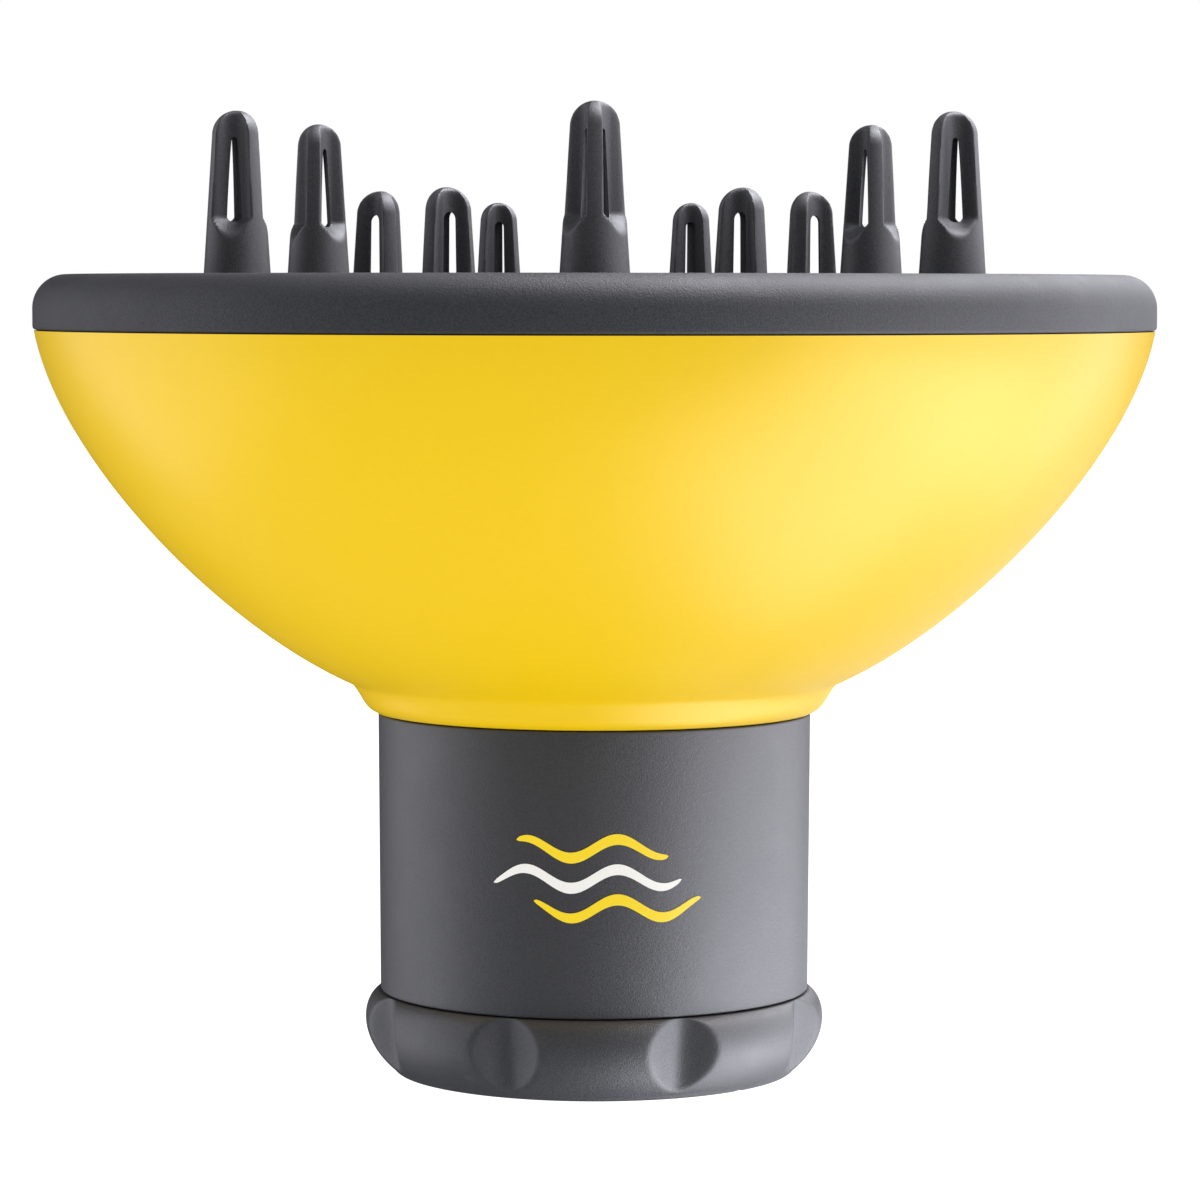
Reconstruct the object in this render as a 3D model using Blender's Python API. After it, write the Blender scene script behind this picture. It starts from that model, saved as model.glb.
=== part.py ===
"""Dryer diffuser with a twist-lock neck that clamps on the barrel of a hair dryer.

Metres, +Z up. The origin is the centre of the lock ring's lower face, which the diffuser stands on.
-Y is the front. Lengths in the section below are in millimetres and are scaled once, in `MM`.
"""

import math

import bmesh
import bpy
from mathutils import Matrix, Vector

MM = 0.001

# ---------------------------------------------------------------- driving dimensions, millimetres
GAP = 0.3                    # clearance between pieces that touch

RIM_Z = 107.0                # seam between the bowl and the rim cap
RIM_RADIUS = 80.3            # widest point of the rim cap
RIM_HEIGHT = 7.9             # rim cap above the seam
RIM_ROUND = 5.6              # radius of the rim cap's outer top edge
RIM_INNER = 73.4             # where the rim meets the dish
DISH_EDGE_Z = 110.2          # dish surface at its edge
DISH_DEPTH = 11.0            # how far the middle of the dish lies below its edge
DISH_WALL = 2.2

BOWL_RADIUS = 80.1
SHOULDER_RADIUS = 35.8       # bowl ends in this corner, above its collar
SHOULDER_DROP = 50.8         # shoulder below the seam
COLLAR_RADIUS = 31.5
COLLAR_DROP = 54.9
COLLAR_Z = RIM_Z - COLLAR_DROP
COLLAR_FLOOR = 2.9           # thickness of the bowl's floor inside the collar
BOWL_WALL = 2.2

NECK_RADIUS = 31.0
NECK_BORE = 28.9             # bore that takes the dryer's barrel
SPIGOT_RADIUS = 27.9         # neck's reduced end, which passes through the bowl's collar
NECK_TOP = 51.8
NECK_STEP = 12.0             # the lock ring sits under this step
STOP_Z = 36.0                # shelf that the dryer's barrel butts against
STOP_RADIUS = 23.5
FLANGE_WALL = 1.8            # flange of the neck, screwed down inside the bowl
NECK_SCREW_RADIUS = 30.2

RING_HEIGHT = 11.7
RING_FOOT = 28.6
RING_BORE = 25.2             # the ring's floor reaches in to here
SCOOPS = 8
SCOOP_RADIUS = 7.0
SCOOP_CENTRE = 37.4

THROAT = 24.9                # inner radius of jaws, plate and shelf when open
JAWS = 6
PIVOT_RADIUS = 26.1
DRIVE_ANGLE = 20.0           # drive peg, degrees along the jaw from its pivot
DRIVE_RADIUS = 28.0
JAW_ARC = 47.0
JAW_BOTTOM = 4.5
JAW_TOP = 10.6
JAW_OUTER = 27.3
PAD_BOTTOM = 5.7
PAD_TOP = 9.4
JAW_SWING = 12.0             # degrees that a jaw closes
PLATE_BOTTOM = 2.6
PLATE_TOP = 4.2
CAM_SCREW_RADIUS = 27.3
PIN_RADIUS = 0.75
PIN_TOP = 14.1               # pins stand in the neck's lower wall
RING_TURN = 30.0             # degrees that the ring turns to close the jaws

# prong rings: radius, angles from the front, height of the tip above the seam, size
PRONG_RINGS = (
    (53.3, (0.0, 69.5, 128.5, 180.0, -128.5, -69.5), 30.6, 1.0),
    (31.0, (41.5, 95.0, 180.0, -95.0, -41.5), 19.9, 1.0),
    (17.0, (53.4, 180.0, -53.4), 18.0, 0.78),
)
PRONG_TIP = 3.3              # radius of the rounded tip
PRONG_TAPER = 0.07           # growth of the radius per millimetre below the tip
PRONG_WALL = 1.9
SLOT_RADIUS = 2.2            # each prong has three round channels this size
SLOT_CENTRE = 3.5            # ... at this distance from the prong's axis
TALL_PRONG = 25.0            # prongs that stand higher than this have short channels ...
SLOT_TALL = 17.6             # ... of this length
PRONG_CROWN = 2.8            # solid material above the hollow of a prong

# air holes in the dish: radius of the circle, how many, radius of a hole
HOLE_RINGS = ((7.5, 6, 1.9), (24.0, 10, 2.0), (42.0, 14, 2.2), (65.5, 24, 2.2))

BAFFLE_RADIUS = 27.0
BAFFLE_Z = 87.0
BAFFLE_POST = 17.0           # circle of the three posts, the first at the front

CHARCOAL = (0.045, 0.046, 0.052, 1.0)
YELLOW = (0.87, 0.56, 0.004, 1.0)
STEEL = (0.55, 0.56, 0.58, 1.0)
RUBBER = (0.018, 0.018, 0.019, 1.0)
NYLON = (0.30, 0.30, 0.31, 1.0)


# ---------------------------------------------------------------- helpers
def material(name, colour, roughness, metallic=0.0):
    made = bpy.data.materials.get(name) or bpy.data.materials.new(name)
    made.use_nodes = True
    shader = made.node_tree.nodes["Principled BSDF"]
    shader.inputs["Base Color"].default_value = colour
    shader.inputs["Roughness"].default_value = roughness
    shader.inputs["Metallic"].default_value = metallic
    return made


def polar(radius, degrees, z=0.0):
    """A point at an angle from the front (-Y), turning towards +X."""
    angle = math.radians(degrees)
    return Vector((radius * math.sin(angle), -radius * math.cos(angle), z))


def finish(name, bm, look=None, sharp=35.0):
    """Turn a bmesh in millimetres into a smooth-shaded object in metres."""
    bmesh.ops.remove_doubles(bm, verts=bm.verts, dist=1e-4)
    bmesh.ops.recalc_face_normals(bm, faces=bm.faces)
    bmesh.ops.scale(bm, vec=(MM, MM, MM), verts=bm.verts)
    mesh = bpy.data.meshes.new(name)
    bm.to_mesh(mesh)
    bm.free()
    mesh.shade_smooth()
    mesh.set_sharp_from_angle(angle=math.radians(sharp))
    made = bpy.data.objects.new(name, mesh)
    bpy.context.scene.collection.objects.link(made)
    if look:
        mesh.materials.append(look)
    return made


def arc(centre, radius, start, end, steps):
    """Points (r, z) along an arc; angles in degrees from the +r direction."""
    points = []
    for step in range(steps + 1):
        angle = math.radians(start + (end - start) * step / steps)
        points.append((centre[0] + radius * math.cos(angle), centre[1] + radius * math.sin(angle)))
    return points


def bezier(p0, p1, p2, p3, steps):
    points = []
    for step in range(steps + 1):
        t = step / steps
        a, b, c, d = (1 - t) ** 3, 3 * t * (1 - t) ** 2, 3 * t * t * (1 - t), t ** 3
        points.append(tuple(a * q0 + b * q1 + c * q2 + d * q3 for q0, q1, q2, q3 in zip(p0, p1, p2, p3)))
    return points


def lathe(bm, profile, segments, centre=(0.0, 0.0)):
    """Spin a closed outline of (r, z) points about a vertical axis."""
    verts = [bm.verts.new((centre[0] + r, centre[1], z)) for r, z in profile]
    edges = [bm.edges.new((a, b)) for a, b in zip(verts, verts[1:] + verts[:1])]
    bmesh.ops.spin(bm, geom=verts + edges, cent=(centre[0], centre[1], 0.0), axis=(0, 0, 1),
                   angle=math.tau, steps=segments, use_merge=True)
    bmesh.ops.dissolve_degenerate(bm, dist=1e-5, edges=bm.edges)


def prism(bm, outline, low, high):
    """Extrude a closed outline of (x, y) points from z = low to z = high."""
    face = bm.faces.new([bm.verts.new((x, y, low)) for x, y in outline])
    made = bmesh.ops.extrude_face_region(bm, geom=[face])
    top = [item for item in made["geom"] if isinstance(item, bmesh.types.BMVert)]
    bmesh.ops.translate(bm, vec=(0, 0, high - low), verts=top)


def rod(bm, at, radius, low, high, sides=12, top_radius=None):
    """A round bar, or a cone, standing at a point."""
    top = radius if top_radius is None else top_radius
    place = Matrix.Translation((at[0], at[1], (low + high) / 2))
    bmesh.ops.create_cone(bm, cap_ends=True, segments=sides, radius1=radius, radius2=top,
                          depth=high - low, matrix=place)


def sector(inner, outer, start, end, steps):
    """Outline of a piece of a flat ring; angles in degrees from the front."""
    angles = [start + (end - start) * step / steps for step in range(steps + 1)]
    outline = [polar(outer, angle).to_tuple()[:2] for angle in angles]
    return outline + [polar(inner, angle).to_tuple()[:2] for angle in reversed(angles)]


def combine(made, other, operation):
    """Add a live Boolean; the other object becomes a hidden guide."""
    other.display_type = 'WIRE'
    other.hide_render = True
    modifier = made.modifiers.new(operation.lower(), 'BOOLEAN')
    modifier.operation = operation
    modifier.object = other
    modifier.solver = 'EXACT'


def pivoted(made, at):
    """Move an object's origin to a point given in millimetres, leaving its shape where it is."""
    place = Vector(at) * MM
    made.data.transform(Matrix.Translation(-place))
    made.location = place


# ---------------------------------------------------------------- face grille
def dish_height(radius):
    return DISH_EDGE_Z - DISH_DEPTH * (1 - (radius / RIM_INNER) ** 2)


def grille_body():
    bm = bmesh.new()
    top = RIM_Z + RIM_HEIGHT
    seam = RIM_Z + GAP / 2
    inside = BOWL_RADIUS - BOWL_WALL - GAP
    profile = [(inside - 2.8, RIM_Z - 3.5), (inside - 0.9, RIM_Z - 3.5), (inside - 0.2, seam)]
    profile += [(RIM_RADIUS - 0.25, seam)]
    profile += arc((RIM_RADIUS - RIM_ROUND, top - RIM_ROUND), RIM_ROUND, 0, 90, 4)
    profile += [(RIM_INNER + 0.4, top - 0.5), (RIM_INNER, DISH_EDGE_Z)]
    rings = (50.0, 25.0, 0.0)
    profile += [(radius, dish_height(radius)) for radius in rings]
    profile += [(radius, dish_height(radius) - DISH_WALL) for radius in reversed(rings)]
    profile += [(RIM_INNER + 1.5, DISH_EDGE_Z - DISH_WALL - 0.4)]
    lathe(bm, profile, 60)
    return bm


def prong_outline(tip, radius, foot, steps):
    """Half outline of a tapered prong with a rounded tip, from the tip down to its foot."""
    dome = arc((0.0, tip - radius), radius, 90, 0, steps)
    reach = tip - radius - foot
    return dome + [(radius + PRONG_TAPER * reach, foot), (0.0, foot)]


def each_prong():
    for ring, angles, tip_z, size in PRONG_RINGS:
        for angle in angles:
            yield ring, angle, tip_z, size


def prong_solids():
    bm = bmesh.new()
    for ring, angle, tip_z, size in each_prong():
        foot = dish_height(ring) - DISH_WALL / 2
        outline = prong_outline(RIM_Z + tip_z, PRONG_TIP * size, foot, 2)
        lathe(bm, outline, 10, polar(ring, angle))
    return bm


def prong_hollows():
    bm = bmesh.new()
    for ring, angle, tip_z, size in each_prong():
        foot = dish_height(ring) - DISH_WALL - 3.0
        top = RIM_Z + tip_z - PRONG_CROWN * size
        outline = prong_outline(top, (PRONG_TIP - PRONG_WALL) * size, foot, 2)
        lathe(bm, outline, 6, polar(ring, angle))
    return bm


def prong_channels():
    """Three upright round channels to a prong, halfway between its ribs."""
    bm = bmesh.new()
    for ring, angle, tip_z, size in each_prong():
        tip = RIM_Z + tip_z
        length = SLOT_TALL if tip_z > TALL_PRONG else tip - dish_height(ring) - 2.0
        for turn in (60, 180, 300):
            at = polar(ring, angle) + polar(SLOT_CENTRE * size, angle + turn)
            rod(bm, at, SLOT_RADIUS * size, tip - length, tip + 2.0, sides=6)
    return bm


def air_holes():
    bm = bmesh.new()
    for ring, count, radius in HOLE_RINGS:
        for number in range(count):
            angle = 360.0 * (number + 0.5) / count
            at = polar(ring, angle)
            clear = all((at - polar(other, turn)).length > radius + PRONG_TIP * size + 3.2
                        for other, turn, _, size in each_prong())
            if clear:
                rod(bm, at, radius, DISH_EDGE_Z - 30, DISH_EDGE_Z + 5, sides=6)
    return bm


def face_grille(charcoal):
    grille = finish("face_grille", grille_body(), charcoal)
    combine(grille, finish("guide_prongs", prong_solids()), 'UNION')
    combine(grille, finish("guide_posts", baffle_posts()), 'UNION')
    combine(grille, finish("guide_hollows", prong_hollows()), 'DIFFERENCE')
    combine(grille, finish("guide_channels", prong_channels()), 'DIFFERENCE')
    combine(grille, finish("guide_holes", air_holes()), 'DIFFERENCE')
    combine(grille, finish("guide_pilots", baffle_pilots()), 'DIFFERENCE')


# ---------------------------------------------------------------- air baffle, hung under the grille
def post_places():
    return [polar(BAFFLE_POST, 120.0 * number) for number in range(3)]


def baffle_posts():
    bm = bmesh.new()
    for at in post_places():
        rod(bm, at, 3.0, BAFFLE_Z + 2.0 + GAP, dish_height(BAFFLE_POST) - DISH_WALL / 2, sides=12)
    return bm


def baffle_pilots():
    bm = bmesh.new()
    for at in post_places():
        rod(bm, at, 1.3, BAFFLE_Z - 2, BAFFLE_Z + 8.5, sides=8)
    return bm


def air_baffle(nylon):
    bm = bmesh.new()
    lathe(bm, [(0.0, BAFFLE_Z - 9.0), (6.0, BAFFLE_Z - 6.5), (13.0, BAFFLE_Z), (BAFFLE_RADIUS, BAFFLE_Z),
               (BAFFLE_RADIUS, BAFFLE_Z + 2.0), (12.0, BAFFLE_Z + 2.0), (4.5, BAFFLE_Z - 5.0),
               (0.0, BAFFLE_Z - 6.8)], 36)
    baffle = finish("air_baffle", bm, nylon)
    holes = bmesh.new()
    for at in post_places():
        rod(holes, at, 1.6, BAFFLE_Z - 3, BAFFLE_Z + 5, sides=10)
    combine(baffle, finish("guide_baffle_holes", holes), 'DIFFERENCE')


def screw(name, at, z, head_down, head, shank, length, look):
    """A slotted pan-head screw; z is the seat of its head."""
    way = 1 if head_down else -1
    thick = head * 0.55
    bm = bmesh.new()
    profile = [(0.0, z - way * thick), (head * 0.8, z - way * thick), (head, z - way * thick * 0.55),
               (head, z), (shank, z), (shank, z + way * (length - shank)), (shank * 0.3, z + way * length),
               (0.0, z + way * length)]
    lathe(bm, profile, 8, at)
    made = finish(name, bm, look)
    half, width = head * 1.2, head * 0.14
    corners = ((-half, -width), (half, -width), (half, width), (-half, width))
    slot = [(at[0] + x, at[1] + y) for x, y in corners]
    cutter = bmesh.new()
    prism(cutter, slot, *sorted((z - way * (thick + 1.0), z - way * thick * 0.45)))
    combine(made, finish(f"guide_{name}", cutter), 'DIFFERENCE')


# ---------------------------------------------------------------- bowl
def bowl_curve(inset, steps):
    """The bowl's side from the seam down to the shoulder, as (r, z), moved inwards by an inset."""
    start = (BOWL_RADIUS - inset, RIM_Z - GAP / 2)
    upright = (76.6 - inset, RIM_Z - 18.8)
    sloping = (54.1 - inset * 0.7, RIM_Z - 42.7 + inset * 0.7)
    end = (SHOULDER_RADIUS - inset * 0.45, RIM_Z - SHOULDER_DROP + inset * 0.9)
    return bezier(start, upright, sloping, end, steps)


def bowl_shell(yellow):
    bottom = COLLAR_Z
    hole = SPIGOT_RADIUS + GAP
    bm = bmesh.new()
    profile = bowl_curve(0.0, 8)
    profile += bezier(profile[-1], (33.0, bottom + 3.4), (31.6, bottom + 1.8), (COLLAR_RADIUS, bottom), 2)[1:]
    profile += [(hole, bottom), (hole, bottom + COLLAR_FLOOR - 0.3), (33.5, bottom + COLLAR_FLOOR)]
    profile += bowl_curve(BOWL_WALL, 5)[::-1]
    lathe(bm, profile, 60)
    bowl = finish("bowl_shell", bm, yellow)
    holes = bmesh.new()
    for at in neck_screw_places():
        rod(holes, at, 1.0, bottom + 0.9, bottom + 6, sides=8)
    combine(bowl, finish("guide_bowl_pilots", holes), 'DIFFERENCE')


# ---------------------------------------------------------------- neck
def neck_screw_places():
    return [polar(NECK_SCREW_RADIUS, 45 + 90 * number) for number in range(4)]


def neck_sleeve(charcoal):
    """Neck with a barrel stop inside, a snap bead for the ring below and a flange in the bowl above."""
    seat = COLLAR_Z + COLLAR_FLOOR + GAP
    flange = seat + FLANGE_WALL
    jaw_room = THROAT + 2.8
    duct = NECK_BORE - 2.6
    bm = bmesh.new()
    profile = [(NECK_RADIUS, NECK_TOP), (NECK_RADIUS - 0.1, NECK_STEP), (28.7, NECK_STEP), (28.7, 8.8)]
    profile += [(29.4, 8.6), (29.6, 7.4), (29.1, 6.9), (jaw_room, 6.9), (jaw_room, 13.0)]
    profile += [(THROAT, 13.0), (THROAT, 15.0), (NECK_BORE, 17.0), (NECK_BORE, STOP_Z)]
    profile += [(STOP_RADIUS, STOP_Z), (STOP_RADIUS, STOP_Z + 2.0), (duct, STOP_Z + 5.0), (duct, flange)]
    profile += [(32.4, flange), (32.4, seat), (SPIGOT_RADIUS, seat), (SPIGOT_RADIUS, NECK_TOP)]
    lathe(bm, profile, 48)
    neck = finish("neck_sleeve", bm, charcoal)
    holes = bmesh.new()
    for at in neck_screw_places():
        rod(holes, at, 1.25, seat - 1, seat + 4, sides=8)
    for number in range(JAWS):
        rod(holes, pivot_place(number), PIN_RADIUS + 0.35, 11.0, PIN_TOP + GAP, sides=8)
    combine(neck, finish("guide_neck_holes", holes), 'DIFFERENCE')


# ---------------------------------------------------------------- clamp
def jaw_angle(number):
    return 10.0 + 360.0 * number / JAWS


def pivot_place(number):
    return polar(PIVOT_RADIUS, jaw_angle(number))


def drive_path(steps):
    """Where jaw 0's drive peg lies, seen from the turning plate, from open to closed."""
    pivot = pivot_place(0)
    start = polar(DRIVE_RADIUS, jaw_angle(0) + DRIVE_ANGLE) - pivot
    path = []
    for step in range(steps + 1):
        share = step / steps
        swung = pivot + Matrix.Rotation(math.radians(JAW_SWING * share), 3, 'Z') @ start
        path.append(Matrix.Rotation(math.radians(-RING_TURN * share), 3, 'Z') @ swung)
    return path


def slot_outline(path, half):
    """A round-ended outline at a constant distance from a path."""
    left, right = [], []
    for index, point in enumerate(path):
        ahead = path[min(index + 1, len(path) - 1)] - path[max(index - 1, 0)]
        side = Vector((-ahead.y, ahead.x, 0)).normalized() * half
        left.append(point + side)
        right.append(point - side)

    def round_end(centre, first):
        turns = [Matrix.Rotation(math.radians(-45 * turn), 3, 'Z') for turn in (1, 2, 3)]
        return [centre + turn @ (first - centre) for turn in turns]

    outline = left + round_end(path[-1], left[-1]) + right[::-1] + round_end(path[0], right[0])
    return [(point.x, point.y) for point in outline]


def cam_plate(steel):
    bm = bmesh.new()
    outer = DRIVE_RADIUS + 1.6
    lathe(bm, [(outer, PLATE_TOP), (outer, PLATE_BOTTOM), (THROAT, PLATE_BOTTOM), (THROAT, PLATE_TOP)], 48)
    plate = finish("cam_plate", bm, steel)
    slots = bmesh.new()
    path = drive_path(5)
    for number in range(JAWS):
        turn = Matrix.Rotation(math.radians(360.0 * number / JAWS), 3, 'Z')
        prism(slots, slot_outline([turn @ point for point in path], 1.0), PLATE_BOTTOM - 1, PLATE_TOP + 1)
    for at in cam_screw_places():
        rod(slots, at, 1.1, PLATE_BOTTOM - 1, PLATE_TOP + 1, sides=8)
    combine(plate, finish("guide_cam_slots", slots), 'DIFFERENCE')


def cam_screw_places():
    """Screws stand on the webs between the slots."""
    return [polar(CAM_SCREW_RADIUS, jaw_angle(0) + DRIVE_ANGLE + 15.0 + 120.0 * number) for number in range(3)]


def lock_ring(charcoal):
    """Twist ring: bulging outside with finger scoops, a snap lip inside and a floor under the plate."""
    bm = bmesh.new()
    profile = [(31.0, RING_HEIGHT)]
    profile += bezier((31.2, RING_HEIGHT), (33.9, 10.2), (34.3, 4.6), (RING_FOOT + 0.6, 0.4), 5)
    profile += [(RING_FOOT, 0.0), (RING_BORE, 0.0), (RING_BORE, PLATE_BOTTOM - GAP)]
    profile += [(29.9, PLATE_BOTTOM - GAP), (29.9, 8.3)]
    profile += [(29.05, 9.1), (29.05, RING_HEIGHT)]
    lathe(bm, profile, 48)
    ring = finish("lock_ring", bm, charcoal)
    scoops = bmesh.new()
    for number in range(SCOOPS):
        at = polar(SCOOP_CENTRE, 22.5 + 360.0 * number / SCOOPS)
        rod(scoops, at, SCOOP_RADIUS, -1.0, 13.0, sides=16)
    combine(ring, finish("guide_scoops", scoops), 'DIFFERENCE')
    wells = bmesh.new()
    for at in cam_screw_places():
        lathe(wells, [(0.0, 3.0), (1.25, 3.0), (1.25, 1.3), (2.0, 1.3), (2.0, -1.0), (0.0, -1.0)], 12, at)
    combine(ring, finish("guide_ring_wells", wells), 'DIFFERENCE')


def jaw(number, nylon):
    """Curved lever: pivot bore at one end, pad seat at the other, ear with the drive peg between."""
    first = jaw_angle(number)
    drive = first + DRIVE_ANGLE
    bm = bmesh.new()
    prism(bm, sector(THROAT, JAW_OUTER, first - 3.5, first + JAW_ARC, 8), JAW_BOTTOM, JAW_TOP)
    made = finish(f"jaw_{number + 1}", bm, nylon)
    ear = bmesh.new()
    ear_outline = sector(26.0, DRIVE_RADIUS + 1.3, drive - 4.0, drive + 4.0, 2)
    prism(ear, ear_outline, JAW_BOTTOM, JAW_BOTTOM + 2.0)
    combine(made, finish(f"guide_ear_{number + 1}", ear), 'UNION')
    peg = bmesh.new()
    rod(peg, polar(DRIVE_RADIUS, drive), 0.7, PLATE_BOTTOM + 0.2, JAW_BOTTOM + 1.0, sides=8)
    combine(made, finish(f"guide_peg_{number + 1}", peg), 'UNION')
    away = bmesh.new()
    seat_outline = sector(THROAT - 2.0, 26.1, first + 26.0, first + JAW_ARC + 3, 6)
    prism(away, seat_outline, PAD_BOTTOM - GAP, PAD_TOP + GAP)
    combine(made, finish(f"guide_seat_{number + 1}", away), 'DIFFERENCE')
    bore = bmesh.new()
    rod(bore, pivot_place(number), PIN_RADIUS + 0.35, JAW_BOTTOM - 1, JAW_TOP + 1, sides=8)
    combine(made, finish(f"guide_bore_{number + 1}", bore), 'DIFFERENCE')
    pivoted(made, pivot_place(number))


def jaw_pad(number, rubber):
    first = jaw_angle(number)
    bm = bmesh.new()
    prism(bm, sector(THROAT - 0.4, 25.8, first + 26.3, first + JAW_ARC - 0.3, 6), PAD_BOTTOM, PAD_TOP)
    made = finish(f"jaw_pad_{number + 1}", bm, rubber)
    pivoted(made, pivot_place(number))


def pivot_pin(number, steel):
    bm = bmesh.new()
    rod(bm, (0.0, 0.0), PIN_RADIUS, JAW_BOTTOM, PIN_TOP, sides=8)
    made = finish(f"pivot_pin_{number + 1}", bm, steel)
    made.location = pivot_place(number) * MM


# ---------------------------------------------------------------- assembly
def main():
    for old in list(bpy.data.objects):
        bpy.data.objects.remove(old, do_unlink=True)
    charcoal = material("charcoal_matte", CHARCOAL, 0.62)
    yellow = material("yellow_satin", YELLOW, 0.38)
    steel = material("steel", STEEL, 0.35, 1.0)
    rubber = material("rubber", RUBBER, 0.8)
    nylon = material("grey_nylon", NYLON, 0.55)

    face_grille(charcoal)
    bowl_shell(yellow)
    neck_sleeve(charcoal)
    lock_ring(charcoal)
    cam_plate(steel)
    air_baffle(nylon)
    for number in range(JAWS):
        jaw(number, nylon)
        jaw_pad(number, rubber)
        pivot_pin(number, steel)
    for number, at in enumerate(cam_screw_places()):
        screw(f"cam_screw_{number + 1}", at, 1.0, True, 1.6, 0.8, 2.9, steel)
    for number, at in enumerate(post_places()):
        screw(f"baffle_screw_{number + 1}", at, BAFFLE_Z - GAP, True, 2.2, 0.95, 8.0, steel)
    flange_top = COLLAR_Z + COLLAR_FLOOR + GAP + FLANGE_WALL
    for number, at in enumerate(neck_screw_places()):
        screw(f"neck_screw_{number + 1}", at, flange_top + GAP, False, 1.9, 0.7, 4.0, steel)


main()
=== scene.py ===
# %% [markdown]
# # Dryer diffuser
# A bowl diffuser for a hair dryer: a yellow bowl, a charcoal face with hollow prongs, and a neck that
# clamps on the dryer's barrel with a twist ring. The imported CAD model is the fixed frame. Everything
# below is built around it, in metres, +Z up, and the front of the object looks along -Y.

# %% Load the frame
import math

import bmesh
import bpy
from mathutils import Matrix, Vector


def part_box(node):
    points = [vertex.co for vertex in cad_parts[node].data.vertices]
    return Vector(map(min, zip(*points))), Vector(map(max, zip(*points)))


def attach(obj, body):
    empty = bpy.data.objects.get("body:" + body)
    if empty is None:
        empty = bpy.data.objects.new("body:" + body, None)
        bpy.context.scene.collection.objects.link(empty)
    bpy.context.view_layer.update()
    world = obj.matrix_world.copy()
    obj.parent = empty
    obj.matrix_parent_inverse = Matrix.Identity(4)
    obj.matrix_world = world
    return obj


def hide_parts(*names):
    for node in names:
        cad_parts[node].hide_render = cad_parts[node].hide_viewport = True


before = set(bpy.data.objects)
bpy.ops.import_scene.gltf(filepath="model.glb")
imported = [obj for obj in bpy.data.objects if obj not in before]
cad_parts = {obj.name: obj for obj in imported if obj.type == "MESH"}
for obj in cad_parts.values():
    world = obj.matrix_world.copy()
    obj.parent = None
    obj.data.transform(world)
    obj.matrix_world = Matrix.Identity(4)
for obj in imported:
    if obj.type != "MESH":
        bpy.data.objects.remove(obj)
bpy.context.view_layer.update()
MM = 0.001

# %% [markdown]
# ## Sizes from the frame
# The pieces take their places from the CAD nodes' boxes, so they stay right if the design changes.
# The seam between bowl and rim, the neck and the ring are all read here, and turned into millimetres,
# the unit that a maker of such a part thinks in.

# %% Sizes
def node_box(node):
    low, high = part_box(node)
    return low / MM, high / MM


bowl_low, bowl_high = node_box("bowl_shell")

SEAM = bowl_high.z + 0.15
RIM_RADIUS = node_box("face_grille")[1].x
BOWL_RADIUS = bowl_high.x
COLLAR_Z = bowl_low.z
NECK_TOP = COLLAR_Z - 0.18
RING_TOP = node_box("lock_ring")[1].z
print(f"seam {SEAM:.1f} mm, rim radius {RIM_RADIUS:.1f} mm, ring top {RING_TOP:.1f} mm")

# %% [markdown]
# ## Camera
# A long lens from the front, a little above the rim and tilted down, so the rim is a thin ellipse and
# the far prongs show between the near ones.

# %% Camera
def aim_camera(distance, above_seam, lens, pan, tilt, roll):
    data = bpy.data.cameras.new("camera")
    data.lens = lens
    data.sensor_width = 36.0
    made = bpy.data.objects.new("camera", data)
    bpy.context.scene.collection.objects.link(made)
    place = Matrix.Translation((0, -distance * MM, (SEAM + above_seam) * MM))
    panned = Matrix.Rotation(math.radians(-pan), 4, 'Z')
    tilted = Matrix.Rotation(math.radians(90 - tilt), 4, 'X')
    rolled = Matrix.Rotation(math.radians(roll), 4, 'Z')
    made.matrix_world = place @ panned @ tilted @ rolled
    bpy.context.scene.camera = made
    return made


camera = aim_camera(distance=654.8, above_seam=5.46, lens=136.3, pan=0.07, tilt=3.88, roll=0.06)
print("camera at", [round(v, 3) for v in camera.location])

# %% [markdown]
# ## Studio
# The object stands in a white tent. Its even light is the world, which lights the colours but is kept
# out of the gloss, so the middle of the charcoal parts stays dark. The gloss comes from a tall card
# at each side, one overhead, two behind on the right and one below. They show only in the sheen, and
# the right side is the brightest. The floor is pale, and no more than a plane to stand on:
# reflections pass through it, as if the tent's cards went on below.

# %% Tent and floor
def mixed_shader(tree, factor, first, second):
    mix = tree.nodes.new('ShaderNodeMixShader')
    if isinstance(factor, float):
        mix.inputs["Fac"].default_value = factor
    else:
        tree.links.new(factor, mix.inputs["Fac"])
    tree.links.new(first, mix.inputs[1])
    tree.links.new(second, mix.inputs[2])
    return mix.outputs["Shader"]


def white_tent(fill, seen):
    """A world that lights with one strength and is seen behind the object with another."""
    world = bpy.data.worlds.new("tent")
    world.use_nodes = True
    tree = world.node_tree
    backs = []
    for strength in (fill, seen):
        back = tree.nodes.new('ShaderNodeBackground')
        back.inputs["Color"].default_value = (1, 1, 1, 1)
        back.inputs["Strength"].default_value = strength
        backs.append(back.outputs["Background"])
    camera_ray = tree.nodes.new('ShaderNodeLightPath').outputs["Is Camera Ray"]
    both = mixed_shader(tree, camera_ray, *backs)
    tree.links.new(both, tree.nodes["World Output"].inputs["Surface"])
    world.cycles_visibility.glossy = False
    bpy.context.scene.world = world


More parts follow.
